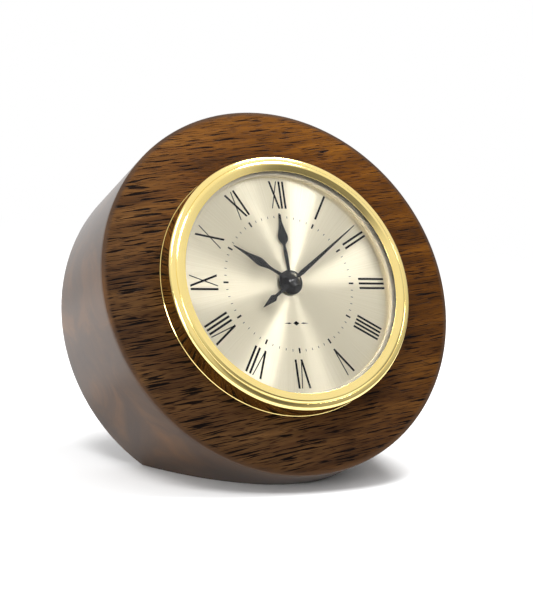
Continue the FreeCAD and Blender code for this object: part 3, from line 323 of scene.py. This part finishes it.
def on_clock(turned_by=0.0):
    """Object coordinates moved to the middle of the wood's face and turned to the
    clock's axes, and then by some degrees about the axis that points out of it."""
    spot = vector("SUBTRACT", own_place(), tuple(FACE))
    tilt = (-np.arctan2(LEAN_COS, LEAN_SIN), 0.0, -np.radians(turned_by))
    return node("Mapping", {"Vector": spot, "Rotation": tilt}).outputs["Vector"]


def drawn_out(place, length, scale, detail, roughness=0.6, twist=0.0):
    """Noise that is so many times as long along the place's first axis as across it."""
    squeezed = node("Mapping", {"Vector": place, "Scale": (1.0, length, length)}).outputs["Vector"]
    return node("TexNoise", {"Vector": squeezed, "Scale": scale, "Detail": detail,
                             "Roughness": roughness, "Distortion": twist}).outputs["Fac"]


def drive(made, feeds):
    """Links values that change over the surface to a node's inputs, by name."""
    for name, value in feeds.items():
        tree.links.new(value, made.inputs[name])


along = on_clock(GRAIN_RISE)
growth = drawn_out(along, 7.0, 22.0, 4.0, 0.6, 0.5)
streaks = drawn_out(along, 22.0, 34.0, 3.0)
pores = drawn_out(along, 17.0, 105.0, 1.5, 0.5, 0.1)
fine_pores = drawn_out(along, 16.0, 230.0, 1.0, 0.5)
board_tone = ramp(growth, [(0.30, (0.033, 0.015, 0.006)), (0.46, (0.062, 0.028, 0.010)),
                           (0.60, (0.088, 0.042, 0.014)), (0.74, (0.128, 0.064, 0.022))])
streak_tone = ramp(streaks, [(0.32, (0.74, 0.70, 0.66)), (0.68, (1.34, 1.29, 1.19))])
face_spot = on_clock()
height_up = node("SeparateXYZ", {0: face_spot}).outputs["Y"]
# Painted light: the face's colour is made lighter towards the top and darker towards the bottom.
painted_light_share = spread(height_up, -0.008, 0.042, 0.74, 1.12)
painted_light_tone = node("CombineXYZ", {0: painted_light_share, 1: painted_light_share, 2: painted_light_share}).outputs["Vector"]
amber_share = spread(vector("DOT_PRODUCT", face_spot, AMBER_WAY), -0.045, 0.048)
warmth = mixed(amber_share, (0.84, 0.88, 1.0, 1.0), (1.20, 0.93, 0.24, 1.0))
open_pores = worked("ADD", pores, worked("MULTIPLY", amber_share, AMBER_OPENING))
pore_tone = ramp(open_pores, [(0.402, (0.06, 0.045, 0.035)), (0.435, (1.0, 1.0, 1.0))])
fine_tone = ramp(fine_pores, [(0.36, (0.38, 0.34, 0.32)), (0.46, (1.0, 1.0, 1.0))])
face_tone = mixed(1.0, mixed(1.0, board_tone, streak_tone, "MULTIPLY"), warmth, "MULTIPLY")
face_tone = mixed(1.0, mixed(1.0, face_tone, pore_tone, "MULTIPLY"), fine_tone, "MULTIPLY")
# Painted light: the lighter top and darker bottom are multiplied into the face's colour here.
face_tone = mixed(1.0, face_tone, painted_light_tone, "MULTIPLY")
from_axis = vector("MULTIPLY", face_spot, (1.0, 1.0, 0.0))
on_side = spread(vector("LENGTH", from_axis), SIDE_FROM, SIDE_TO)
end_grain = drawn_out(along, 3.0, 18.0, 4.0, 0.6, 0.8)
side_tone = ramp(end_grain, [(0.32, (0.030, 0.014, 0.006)), (0.52, (0.048, 0.022, 0.008)),
                             (0.72, (0.090, 0.038, 0.010))])
pore_depth = mixed(on_side, mixed(0.3, pore_tone, fine_tone), WHITE)
relief = node("Bump", {"Strength": 0.6, "Distance": 0.00025, "Height": pore_depth})
drive(shader, {"Base Color": mixed(on_side, face_tone, side_tone),
               "Roughness": spread(on_side, 0.0, 1.0, 0.46, 0.30, False),
               "Coat Weight": spread(on_side, 0.0, 1.0, 0.02, 0.56, False),
               "Normal": relief.outputs["Normal"]})
fitted(wooden_block, "base", "walnut", walnut, "wood_body")

# Bezel: spun brass, polished and lacquered. A flange lies on the wood, a straight
# wall stands up from it, and two sloping rings with a groove between them run in
# to a thin bright lip over the lens. It is one piece and is pressed on the insert.


def turned(name, profile, around=256, closed=True, smooth_to=30.0):
    """Spins a profile about the clock's axis: point k of the profile, at radius r
    and height z, goes to (r cos t, r sin t, z) for each turn t."""
    profile = np.asarray(profile, float)
    turn = np.linspace(0.0, 2 * np.pi, around, endpoint=False)
    radius, height = profile[:, :1], profile[:, 1:]
    grid = np.stack([radius * np.cos(turn), radius * np.sin(turn), height + 0 * turn], 2)
    return skin(name, grid, wrap_rows=closed, smooth_to=smooth_to)


BEZEL_PROFILE = [(34.5, 0.0), (35.4, 0.0), (35.4, 0.25), (35.25, 0.37), (35.25, 6.35),
                 (33.6, 6.78), (33.5, 6.68), (33.42, 6.82), (32.8, 7.1), (30.85, 6.69),
                 (30.85, 6.58), (31.25, 6.58), (31.25, 6.3), (32.8, 6.3), (32.8, 5.7),
                 (34.5, 5.7)]
BEZEL_ROUNDS = [0.0, 0.0, 0.08, 0.05, 0.85, 0.08, 0.05, 0.08, 0.35, 0.05] + [0.0] * 6
bezel_ring = turned("bezel_ring", softened(BEZEL_PROFILE, BEZEL_ROUNDS, steps=8), smooth_to=50.0)


def effect(name, inputs, outputs):
    """Opens a shader node group. inputs gives each socket's name, kind and usual
    value, and outputs each socket's name and kind. It gives the group, its way in
    and its way out."""
    group = bpy.data.node_groups.new(name, "ShaderNodeTree")
    add = group.interface.new_socket
    for label, kind, usual in inputs:
        socket = add(label, in_out="INPUT", socket_type="NodeSocket" + kind)
        if usual is not None:
            socket.default_value = usual
    for label, kind in outputs:
        add(label, in_out="OUTPUT", socket_type="NodeSocket" + kind)
    return group, group.nodes.new("NodeGroupInput"), group.nodes.new("NodeGroupOutput")


def placed(group, feeds):
    """Puts an effect in the material in hand, with its own values."""
    return node("Group", feeds, node_tree=group)


def clouds(place, scale, detail):
    """Plain noise of that scale and detail on a place."""
    return node("TexNoise", {"Vector": place, "Scale": scale, "Detail": detail}).outputs["Fac"]


# Shared effect: handling haze, the slow and fine change of gloss on worn or
# lacquered metal, with a tone a little darker where the haze is thick.
handling_haze, way_in, way_out = effect("handling_haze", [
    ("Vector", "Vector", None), ("Scale", "Float", 180.0), ("Glossiest", "Float", 0.1),
    ("Dullest", "Float", 0.2), ("Tint", "Color", WHITE), ("Dark Tint", "Color", WHITE)],
    [("Roughness", "Float"), ("Color", "Color")])
tree = handling_haze
haze = clouds(way_in.outputs["Vector"], way_in.outputs["Scale"], 3.0)
drive(way_out, {
    "Roughness": spread(haze, 0.3, 0.7, way_in.outputs["Glossiest"],
                        way_in.outputs["Dullest"], False),
    "Color": mixed(haze, way_in.outputs["Tint"], way_in.outputs["Dark Tint"])})


def hazed(name, tint, dark_tint, scale, glossiest, dullest, feeds):
    """A material whose gloss and tone follow the handling haze."""
    global tree
    material, shader, tree = finish(name, tint, feeds)
    haze = placed(handling_haze, {
        "Vector": own_place(), "Scale": scale, "Glossiest": glossiest, "Dullest": dullest,
        "Tint": (*tint, 1.0), "Dark Tint": (*dark_tint, 1.0)})
    drive(shader, {"Roughness": haze.outputs["Roughness"], "Base Color": haze.outputs["Color"]})
    return material


brass = hazed("polished_brass", (0.98, 0.79, 0.33), (0.94, 0.73, 0.26), 160.0, 0.08, 0.15,
              {"Metallic": 1.0})
fitted(bezel_ring, "insert", "polished_brass", brass, "bezel")

# Lens: a clear domed mineral glass of even thickness, ground flat at its rim and
# held under the bezel's lip.
glass, shader, tree = finish("clear_glass", (1.0, 1.0, 1.0), {
    "Roughness": 0.0, "IOR": 1.18, "Transmission Weight": 1.0})
LENS_RIM_INNER, LENS_RIM_OUTER = 30.95, 32.7
LENS_BASE, LENS_RIM, LENS_RISE = 5.1, 6.1, 3.8
FINE_AROUND = 384
# each face is a cap of a sphere: its height is sqrt(R^2 - r^2) - (R - rise)
dome_radius = (LENS_RIM_INNER ** 2 + LENS_RISE ** 2) / (2 * LENS_RISE)
across = np.linspace(0.0, LENS_RIM_INNER, 25)
dome_height = np.sqrt(dome_radius ** 2 - across ** 2) - (dome_radius - LENS_RISE)
outer = np.stack([across, LENS_RIM + dome_height], 1)
inner = np.stack([across, LENS_BASE + dome_height], 1)[::-1]
lens_edge = [(LENS_RIM_OUTER, LENS_RIM), (LENS_RIM_OUTER, LENS_BASE)]
lens_dome = turned("lens_dome", np.concatenate([outer, lens_edge, inner]),
                   around=FINE_AROUND, closed=False, smooth_to=35.0)
fitted(lens_dome, "insert", "clear_glass", glass, "lens")

# Gasket and grip ring: flat black rubber. The gasket is squeezed between the glass
# and the bezel's lip, and the grip ring sits in the cup's groove and holds the
# insert in the wood.

# Shared effect: moulded skin, the fine even grain of moulded rubber and plastic,
# given as a height for bump and as a small change of gloss.
moulded_skin, way_in, way_out = effect("moulded_skin", [
    ("Vector", "Vector", None), ("Scale", "Float", 900.0), ("Gloss", "Float", 0.5),
    ("Unevenness", "Float", 0.1)], [("Height", "Float"), ("Roughness", "Float")])
tree = moulded_skin
pebbles = node("TexVoronoi", {"Vector": way_in.outputs["Vector"],
                              "Scale": way_in.outputs["Scale"]}, feature="SMOOTH_F1")
cloud = clouds(way_in.outputs["Vector"], 60.0, 4.0)
uneven = worked("MULTIPLY", cloud, way_in.outputs["Unevenness"])
drive(way_out, {"Height": pebbles.outputs["Distance"],
                "Roughness": worked("ADD", uneven, way_in.outputs["Gloss"])})


def moulded(name, colour, scale, gloss, depth, feeds):
    """A moulded material with a grain of that scale, gloss and depth in metres."""
    global tree
    material, shader, tree = finish(name, colour, feeds)
    spot = own_place()
    grain = placed(moulded_skin, {"Vector": spot, "Scale": scale, "Gloss": gloss,
                                  "Unevenness": 0.14})
    bump = node("Bump", {"Strength": 0.5, "Distance": depth, "Height": grain.outputs["Height"]})
    light, dark = [(*(share * part for part in colour), 1.0) for share in (1.12, 0.86)]
    drive(shader, {"Roughness": grain.outputs["Roughness"], "Normal": bump.outputs["Normal"],
                   "Base Color": mixed(clouds(spot, 140.0, 3.0), dark, light)})
    return material


def coat(material, *names):
    """Gives a material to CAD nodes whose shape stays as it is."""
    for name in names:
        for slot in frame["nodes"][name].material_slots:
            slot.material = material


rubber = moulded("black_rubber", (0.014, 0.014, 0.014), 1500.0, 0.66, 0.00004, {})
coat(rubber, "grip_ring")
GASKET_PROFILE = [(30.98, 6.12), (30.98, 6.54), (31.2, 6.54), (31.2, 6.28),
                  (32.65, 6.28), (32.65, 6.12)]
GASKET_ROUNDS = [0.0, 0.06, 0.0, 0.0, 0.0, 0.0]
black_gasket = turned("black_gasket", softened(GASKET_PROFILE, GASKET_ROUNDS, steps=3))
fitted(black_gasket, "insert", "black_rubber", rubber, "lens_gasket")

# Spacer ring: a silvered ring between dial and glass. Its inner wall shows past
# the dial's edge and carries two fine turned lines.
RING_TOP, DIAL_TOP = 5.06, 3.8
RING_INNER, RING_OUTER = 30.2, 32.7
LINE_DEPTH, LINE_HALF = 0.12, 0.05
LINE_LEVELS = (4.7, 4.25)
ring_wall = [(RING_INNER + depth, level + step) for level in LINE_LEVELS
             for step, depth in ((LINE_HALF, 0.0), (0.0, LINE_DEPTH), (-LINE_HALF, 0.0))]
silver_ring = turned("silver_ring", softened(
    [(RING_OUTER, DIAL_TOP), (RING_OUTER, RING_TOP), (RING_INNER, RING_TOP), *ring_wall,
     (RING_INNER, DIAL_TOP)], [0.0, 0.0, 0.08] + [0.0] * 7, steps=3), around=FINE_AROUND)
silvering = hazed("silvered_ring", (0.80, 0.73, 0.58), (0.70, 0.63, 0.49), 220.0, 0.32, 0.44,
                  {"Metallic": 0.7})
fitted(silver_ring, "insert", "silvered_ring", silvering, "spacer_ring")

# Dial: a thin brass disc, champagne plated and brushed outwards from its centre,
# so that the light runs over it in bright rays. It keeps its CAD shape.
champagne, shader, tree = finish("champagne_dial", (0.80, 0.73, 0.58), {
    "Metallic": 1.0, "Roughness": 0.48, "Anisotropic": 1.0})
from_centre = vector("SUBTRACT", own_place(), tuple(FACE))
crosswise = vector("CROSS_PRODUCT", tuple(OUT), from_centre)
bearing = worked("ARCTAN2", vector("DOT_PRODUCT", from_centre, tuple(UP)),
                 vector("DOT_PRODUCT", from_centre, tuple(ACROSS)))
strokes = node("TexNoise", {"W": bearing, "Scale": 70.0, "Detail": 3.0}, noise_dimensions="1D")
plating = ramp(strokes.outputs["Fac"], [(0.3, (0.91, 0.835, 0.635)), (0.7, (0.97, 0.90, 0.71))])
drive(shader, {"Tangent": vector("NORMALIZE", crosswise), "Base Color": plating})
coat(champagne, "dial")

# Print: hour numerals, minute track and a small plain ornament, pad printed in
# black on the dial. The numerals stand with their feet towards the centre.
INK_LIFT, THIN_INK, INK_THICK = 0.004, 0.022, 0.03
NUMERAL_FOOT, NUMERAL_HEAD = 21.0, 28.8
HEAVY, LIGHT = 0.58, 0.28
APEX = 0.63
ink, shader, tree = finish("dial_ink", (0.006, 0.006, 0.007), {"Specular IOR Level": 0.1})
ink_cover = clouds(own_place(), 700.0, 2.0)
drive(shader, {"Roughness": spread(ink_cover, 0.3, 0.7, 0.42, 0.6),
               "Base Color": ramp(ink_cover, [(0.3, (0.004, 0.004, 0.005)),
                                              (0.7, (0.009, 0.009, 0.010))])})


def printed(name, outlines, thick):
    """Raises flat four-cornered patches off the dial: each outline goes up from the
    dial's face to its thickness, as a closed box with slanted or tapered sides."""
    outlines = np.asarray(outlines, float)
    levels = DIAL_TOP + np.stack([np.full(len(outlines), INK_LIFT), np.asarray(thick)], 1)
    corners = np.repeat(outlines[:, None], 2, 1)
    heights = np.broadcast_to(levels[:, :, None, None], corners.shape[:3] + (1,))
    points = np.concatenate([corners, heights], 3).reshape(-1, 3)
    box = np.array([(3, 2, 1, 0), (4, 5, 6, 7), (0, 1, 5, 4), (1, 2, 6, 5),
                    (2, 3, 7, 6), (3, 0, 4, 7)])
    faces = (box[None] + 8 * np.arange(len(outlines))[:, None, None]).reshape(-1, 4)
    mesh = bpy.data.meshes.new(name)
    mesh.from_pydata(in_place(points), [], faces.tolist())
    solid = bmesh.new()
    solid.from_mesh(mesh)
    bmesh.ops.recalc_face_normals(solid, faces=solid.faces)
    solid.to_mesh(mesh)
    solid.free()
    piece = bpy.data.objects.new(name, mesh)
    scene.collection.objects.link(piece)
    return fitted(piece, "insert", "black_hand", ink)


def bar(outward, clockwise, head, foot, width):
    """The corners of a bar from head to foot, each (radius, offset), cut square
    across at both ends."""
    ends = [outward * head[0] + clockwise * head[1], outward * foot[0] + clockwise * foot[1]]
    half = clockwise * width / 2
    return [ends[0] - half, ends[0] + half, ends[1] + half, ends[1] - half]


def compass(degrees):
    """The unit vectors outwards and clockwise at that many degrees past twelve."""
    angle = np.radians(degrees)
    return np.array([np.sin(angle), np.cos(angle)]), np.array([np.cos(angle), -np.sin(angle)])


# each numeral: its letters, the width of its V or X, the gap beside that, and the
# pitch of its bars, in millimetres
NUMERALS = [("XII", 2.05, 0.85, 1.08), ("I", 0.0, 0.0, 0.0), ("II", 0.0, 0.0, 1.25),
            ("III", 0.0, 0.0, 1.3), ("IIII", 0.0, 0.0, 1.1), ("V", 2.3, 0.0, 0.0),
            ("VI", 2.3, 0.85, 0.0), ("VII", 2.3, 0.85, 1.15), ("VIII", 2.3, 0.85, 1.15),
            ("IX", 2.85, 0.88, 0.0), ("X", 2.75, 0.0, 0.0), ("XI", 2.15, 0.82, 0.0)]
numeral_bars, numeral_thick = [], []
for hour, (letters, wide, gap, pitch) in enumerate(NUMERALS):
    outward, clockwise = compass(30 * hour)
    drawn, pen = [], 0.0
    for letter, after in zip(letters, letters[1:] + " "):
        if letter == "I":
            drawn.append((pen, pen, HEAVY))
        elif letter == "V":
            drawn += [(pen, pen + wide * APEX, HEAVY), (pen + wide, pen + wide * APEX, LIGHT)]
        else:
            drawn += [(pen, pen + wide, HEAVY), (pen + wide, pen, LIGHT)]
        width = 0.0 if letter == "I" else wide
        step = pitch if letter + after == "II" else gap
        pen += width + (step if after != " " else 0.0)
    for head, foot, width in drawn:
        numeral_bars.append(bar(outward, clockwise, (NUMERAL_HEAD, head - pen / 2),
                                (NUMERAL_FOOT, foot - pen / 2), width))
        numeral_thick.append(INK_THICK if width == HEAVY else THIN_INK)
printed("hour_numerals", numeral_bars, numeral_thick)

TRACK_RADIUS = 18.6
DOT, TICK = (1.42, 0.46), (0.62, 0.15)
track = [bar(*compass(6 * minute), (TRACK_RADIUS + long / 2, 0.0),
             (TRACK_RADIUS - long / 2, 0.0), wide)
         for minute in range(60) for long, wide in [TICK if minute % 5 else DOT]]
printed("minute_track", track, [INK_THICK] * len(track))

ORNAMENT_MIDDLE = np.array([0.2, -11.15])
LOZENGE = np.array([(-0.9, 0.0), (0.0, 0.62), (0.9, 0.0), (0.0, -0.62)])
LEAF = np.array([(1.35, 0.0), (2.0, 0.2), (3.6, 0.0), (2.0, -0.2)])
small_ornament = [ORNAMENT_MIDDLE + shape for shape in (LOZENGE, LEAF, LEAF * (-1, 1))]
printed("small_ornament", small_ornament, [INK_THICK] * len(small_ornament))

# Hands: stamped steel blades on brass collars, all in black gloss enamel, stacked
# on the alarm pipe, the hour pipe and the minute arbor, under a conical cap.
enamel = hazed("black_enamel", (0.005, 0.005, 0.006), (0.003, 0.003, 0.004), 420.0, 0.16, 0.24,
               {"Specular IOR Level": 0.38, "Coat Weight": 0.2, "Coat Roughness": 0.08})
coat(enamel, "alarm_hand", "hour_hand", "minute_hand", "hand_cap")

# Case: the cup, the front plate, both knobs and the battery door are moulded in black
# plastic with a fine spark-eroded grain. The chip lies under a drop of black resin,
# which has the same finish here.
black_plastic = moulded("black_plastic", (0.022, 0.022, 0.024), 1100.0, 0.44, 0.00005, {})
coat(black_plastic, "front_plate", "insert_cup", "time_knob", "alarm_knob", "chip_cover",
     "battery_door")

# Inner plates and bobbin: grey moulded plastic that carries the pivots and the coil.
# The plates are clamped on the cup's pillars by three screws.
grey_plastic = moulded("grey_plastic", (0.26, 0.26, 0.27), 900.0, 0.42, 0.00003, {})
coat(grey_plastic, "middle_plate", "rear_plate", "coil_bobbin")

# Motion work and switch: white acetal wheels, pinions and sliders, smooth and a
# little waxy where light gets into the edges.
white_acetal = moulded("white_acetal", (0.78, 0.78, 0.75), 700.0, 0.34, 0.00001,
                       {"Subsurface Weight": 0.12, "Subsurface Scale": 0.0008})
coat(white_acetal, "motion_wheel", "hour_wheel", "alarm_wheel", "setting_pinion", "rotor_pinion",
     "switch_slider", "alarm_switch")

# Going train and sounder: wheels stamped from brass sheet on their pinions, and the
# sounder's thin brass disc, all unlacquered and a little dull.
gear_brass = hazed("gear_brass", (0.78, 0.57, 0.25), (0.66, 0.46, 0.19), 260.0, 0.22, 0.38,
                   {"Metallic": 1.0})
coat(gear_brass, "centre_wheel", "third_wheel", "second_wheel", "intermediate_wheel",
     "sounder_disc")

# Steel parts: zinc-plated screws, minute arbor, stator, coil core and hinge pin,
# with the cool, slightly cloudy shine of the plating.
zinc = hazed("zinc_steel", (0.64, 0.66, 0.68), (0.52, 0.54, 0.57), 300.0, 0.24, 0.42,
             {"Metallic": 1.0})
coat(zinc, "plate_screws", "minute_arbor", "stator", "coil_core", "door_pin")

# Rotor magnet: a ring of pressed and sintered ferrite, nearly black and matt with
# a gritty surface.
ferrite = moulded("sintered_ferrite", (0.055, 0.055, 0.060), 2200.0, 0.50, 0.00003,
                  {"Metallic": 0.3})
coat(ferrite, "rotor_magnet")

# Coil: fine enamelled copper wire, wound in many close layers on the bobbin, so
# that the outer layer shows as fine rings along the coil.
WIRE_PITCH = 0.00016
copper, shader, tree = finish("copper_wire", (0.60, 0.24, 0.09), {"Metallic": 1.0, "Roughness": 0.3})
height_up = node("SeparateXYZ", {0: on_clock()}).outputs["Y"]
phase = worked("MULTIPLY", height_up, 2 * np.pi / WIRE_PITCH)
turns = spread(worked("SINE", phase), -1.0, 1.0, soft=False)
wire_relief = node("Bump", {"Strength": 0.8, "Distance": WIRE_PITCH / 4, "Height": turns})
# Painted shade: the grooves between the turns are painted dark. The copper's own colour is kept on
# the turns.
wire_tone_and_groove_shade = ramp(turns, [(0.1, (0.16, 0.045, 0.016)), (0.7, (0.70, 0.30, 0.12))])
drive(shader, {"Base Color": wire_tone_and_groove_shade, "Normal": wire_relief.outputs["Normal"]})
coat(copper, "coil_winding")

# Circuit board: green solder resist over copper tracks on a thin laminate, clamped
# on the rear plate.
TRACK_SCALE = 650.0
board_green, shader, tree = finish("green_board", (0.02, 0.16, 0.06),
                                   {"Coat Weight": 0.5, "Coat Roughness": 0.1})
tracks = node("TexBrick", {
    "Vector": on_clock(45.0), "Scale": TRACK_SCALE, "Mortar Size": 0.16,
    "Color1": (0.020, 0.150, 0.055, 1.0), "Color2": (0.016, 0.120, 0.045, 1.0),
    "Mortar": (0.060, 0.240, 0.080, 1.0)})
drive(shader, {"Base Color": tracks.outputs["Color"],
               "Roughness": spread(tracks.outputs["Fac"], 0.0, 1.0, 0.36, 0.24, False)})
coat(board_green, "circuit_board")

# Crystal can and battery contacts: bright nickel plating, on a drawn can and on
# sprung sheet.
nickel = hazed("bright_nickel", (0.80, 0.77, 0.70), (0.70, 0.67, 0.61), 240.0, 0.14, 0.26,
               {"Metallic": 1.0})
coat(nickel, "quartz_crystal", "contact_plus", "contact_minus")

# Battery: one AAA cell, a steel can in a plain dark printed sleeve that stops short
# of both bright ends.
SLEEVE_FROM, SLEEVE_TO = -0.0216, 0.0206
cell_sleeve, shader, tree = finish("cell_sleeve", (0.05, 0.06, 0.08),
                                   {"Coat Weight": 0.4, "Coat Roughness": 0.15})
place_along = node("SeparateXYZ", {0: own_place()}).outputs["X"]
sleeved = worked("MULTIPLY", worked("GREATER_THAN", place_along, SLEEVE_FROM),
                 worked("LESS_THAN", place_along, SLEEVE_TO))
scuffs = clouds(on_clock(), 260.0, 4.0)
sleeve_tone = mixed(scuffs, (0.030, 0.038, 0.055, 1.0), (0.060, 0.070, 0.095, 1.0))
drive(shader, {"Base Color": mixed(sleeved, (0.70, 0.69, 0.66, 1.0), sleeve_tone),
               "Metallic": spread(sleeved, 0.0, 1.0, 1.0, 0.0, False),
               "Roughness": spread(scuffs, 0.3, 0.7, 0.24, 0.38)})
coat(cell_sleeve, "battery")

# Alarm contact: a strip of rolled spring bronze under the front plate, which the
# alarm wheel lets up at the set time.
bronze = hazed("spring_bronze", (0.72, 0.47, 0.24), (0.58, 0.36, 0.17), 320.0, 0.22, 0.36,
               {"Metallic": 1.0})
coat(bronze, "alarm_contact")
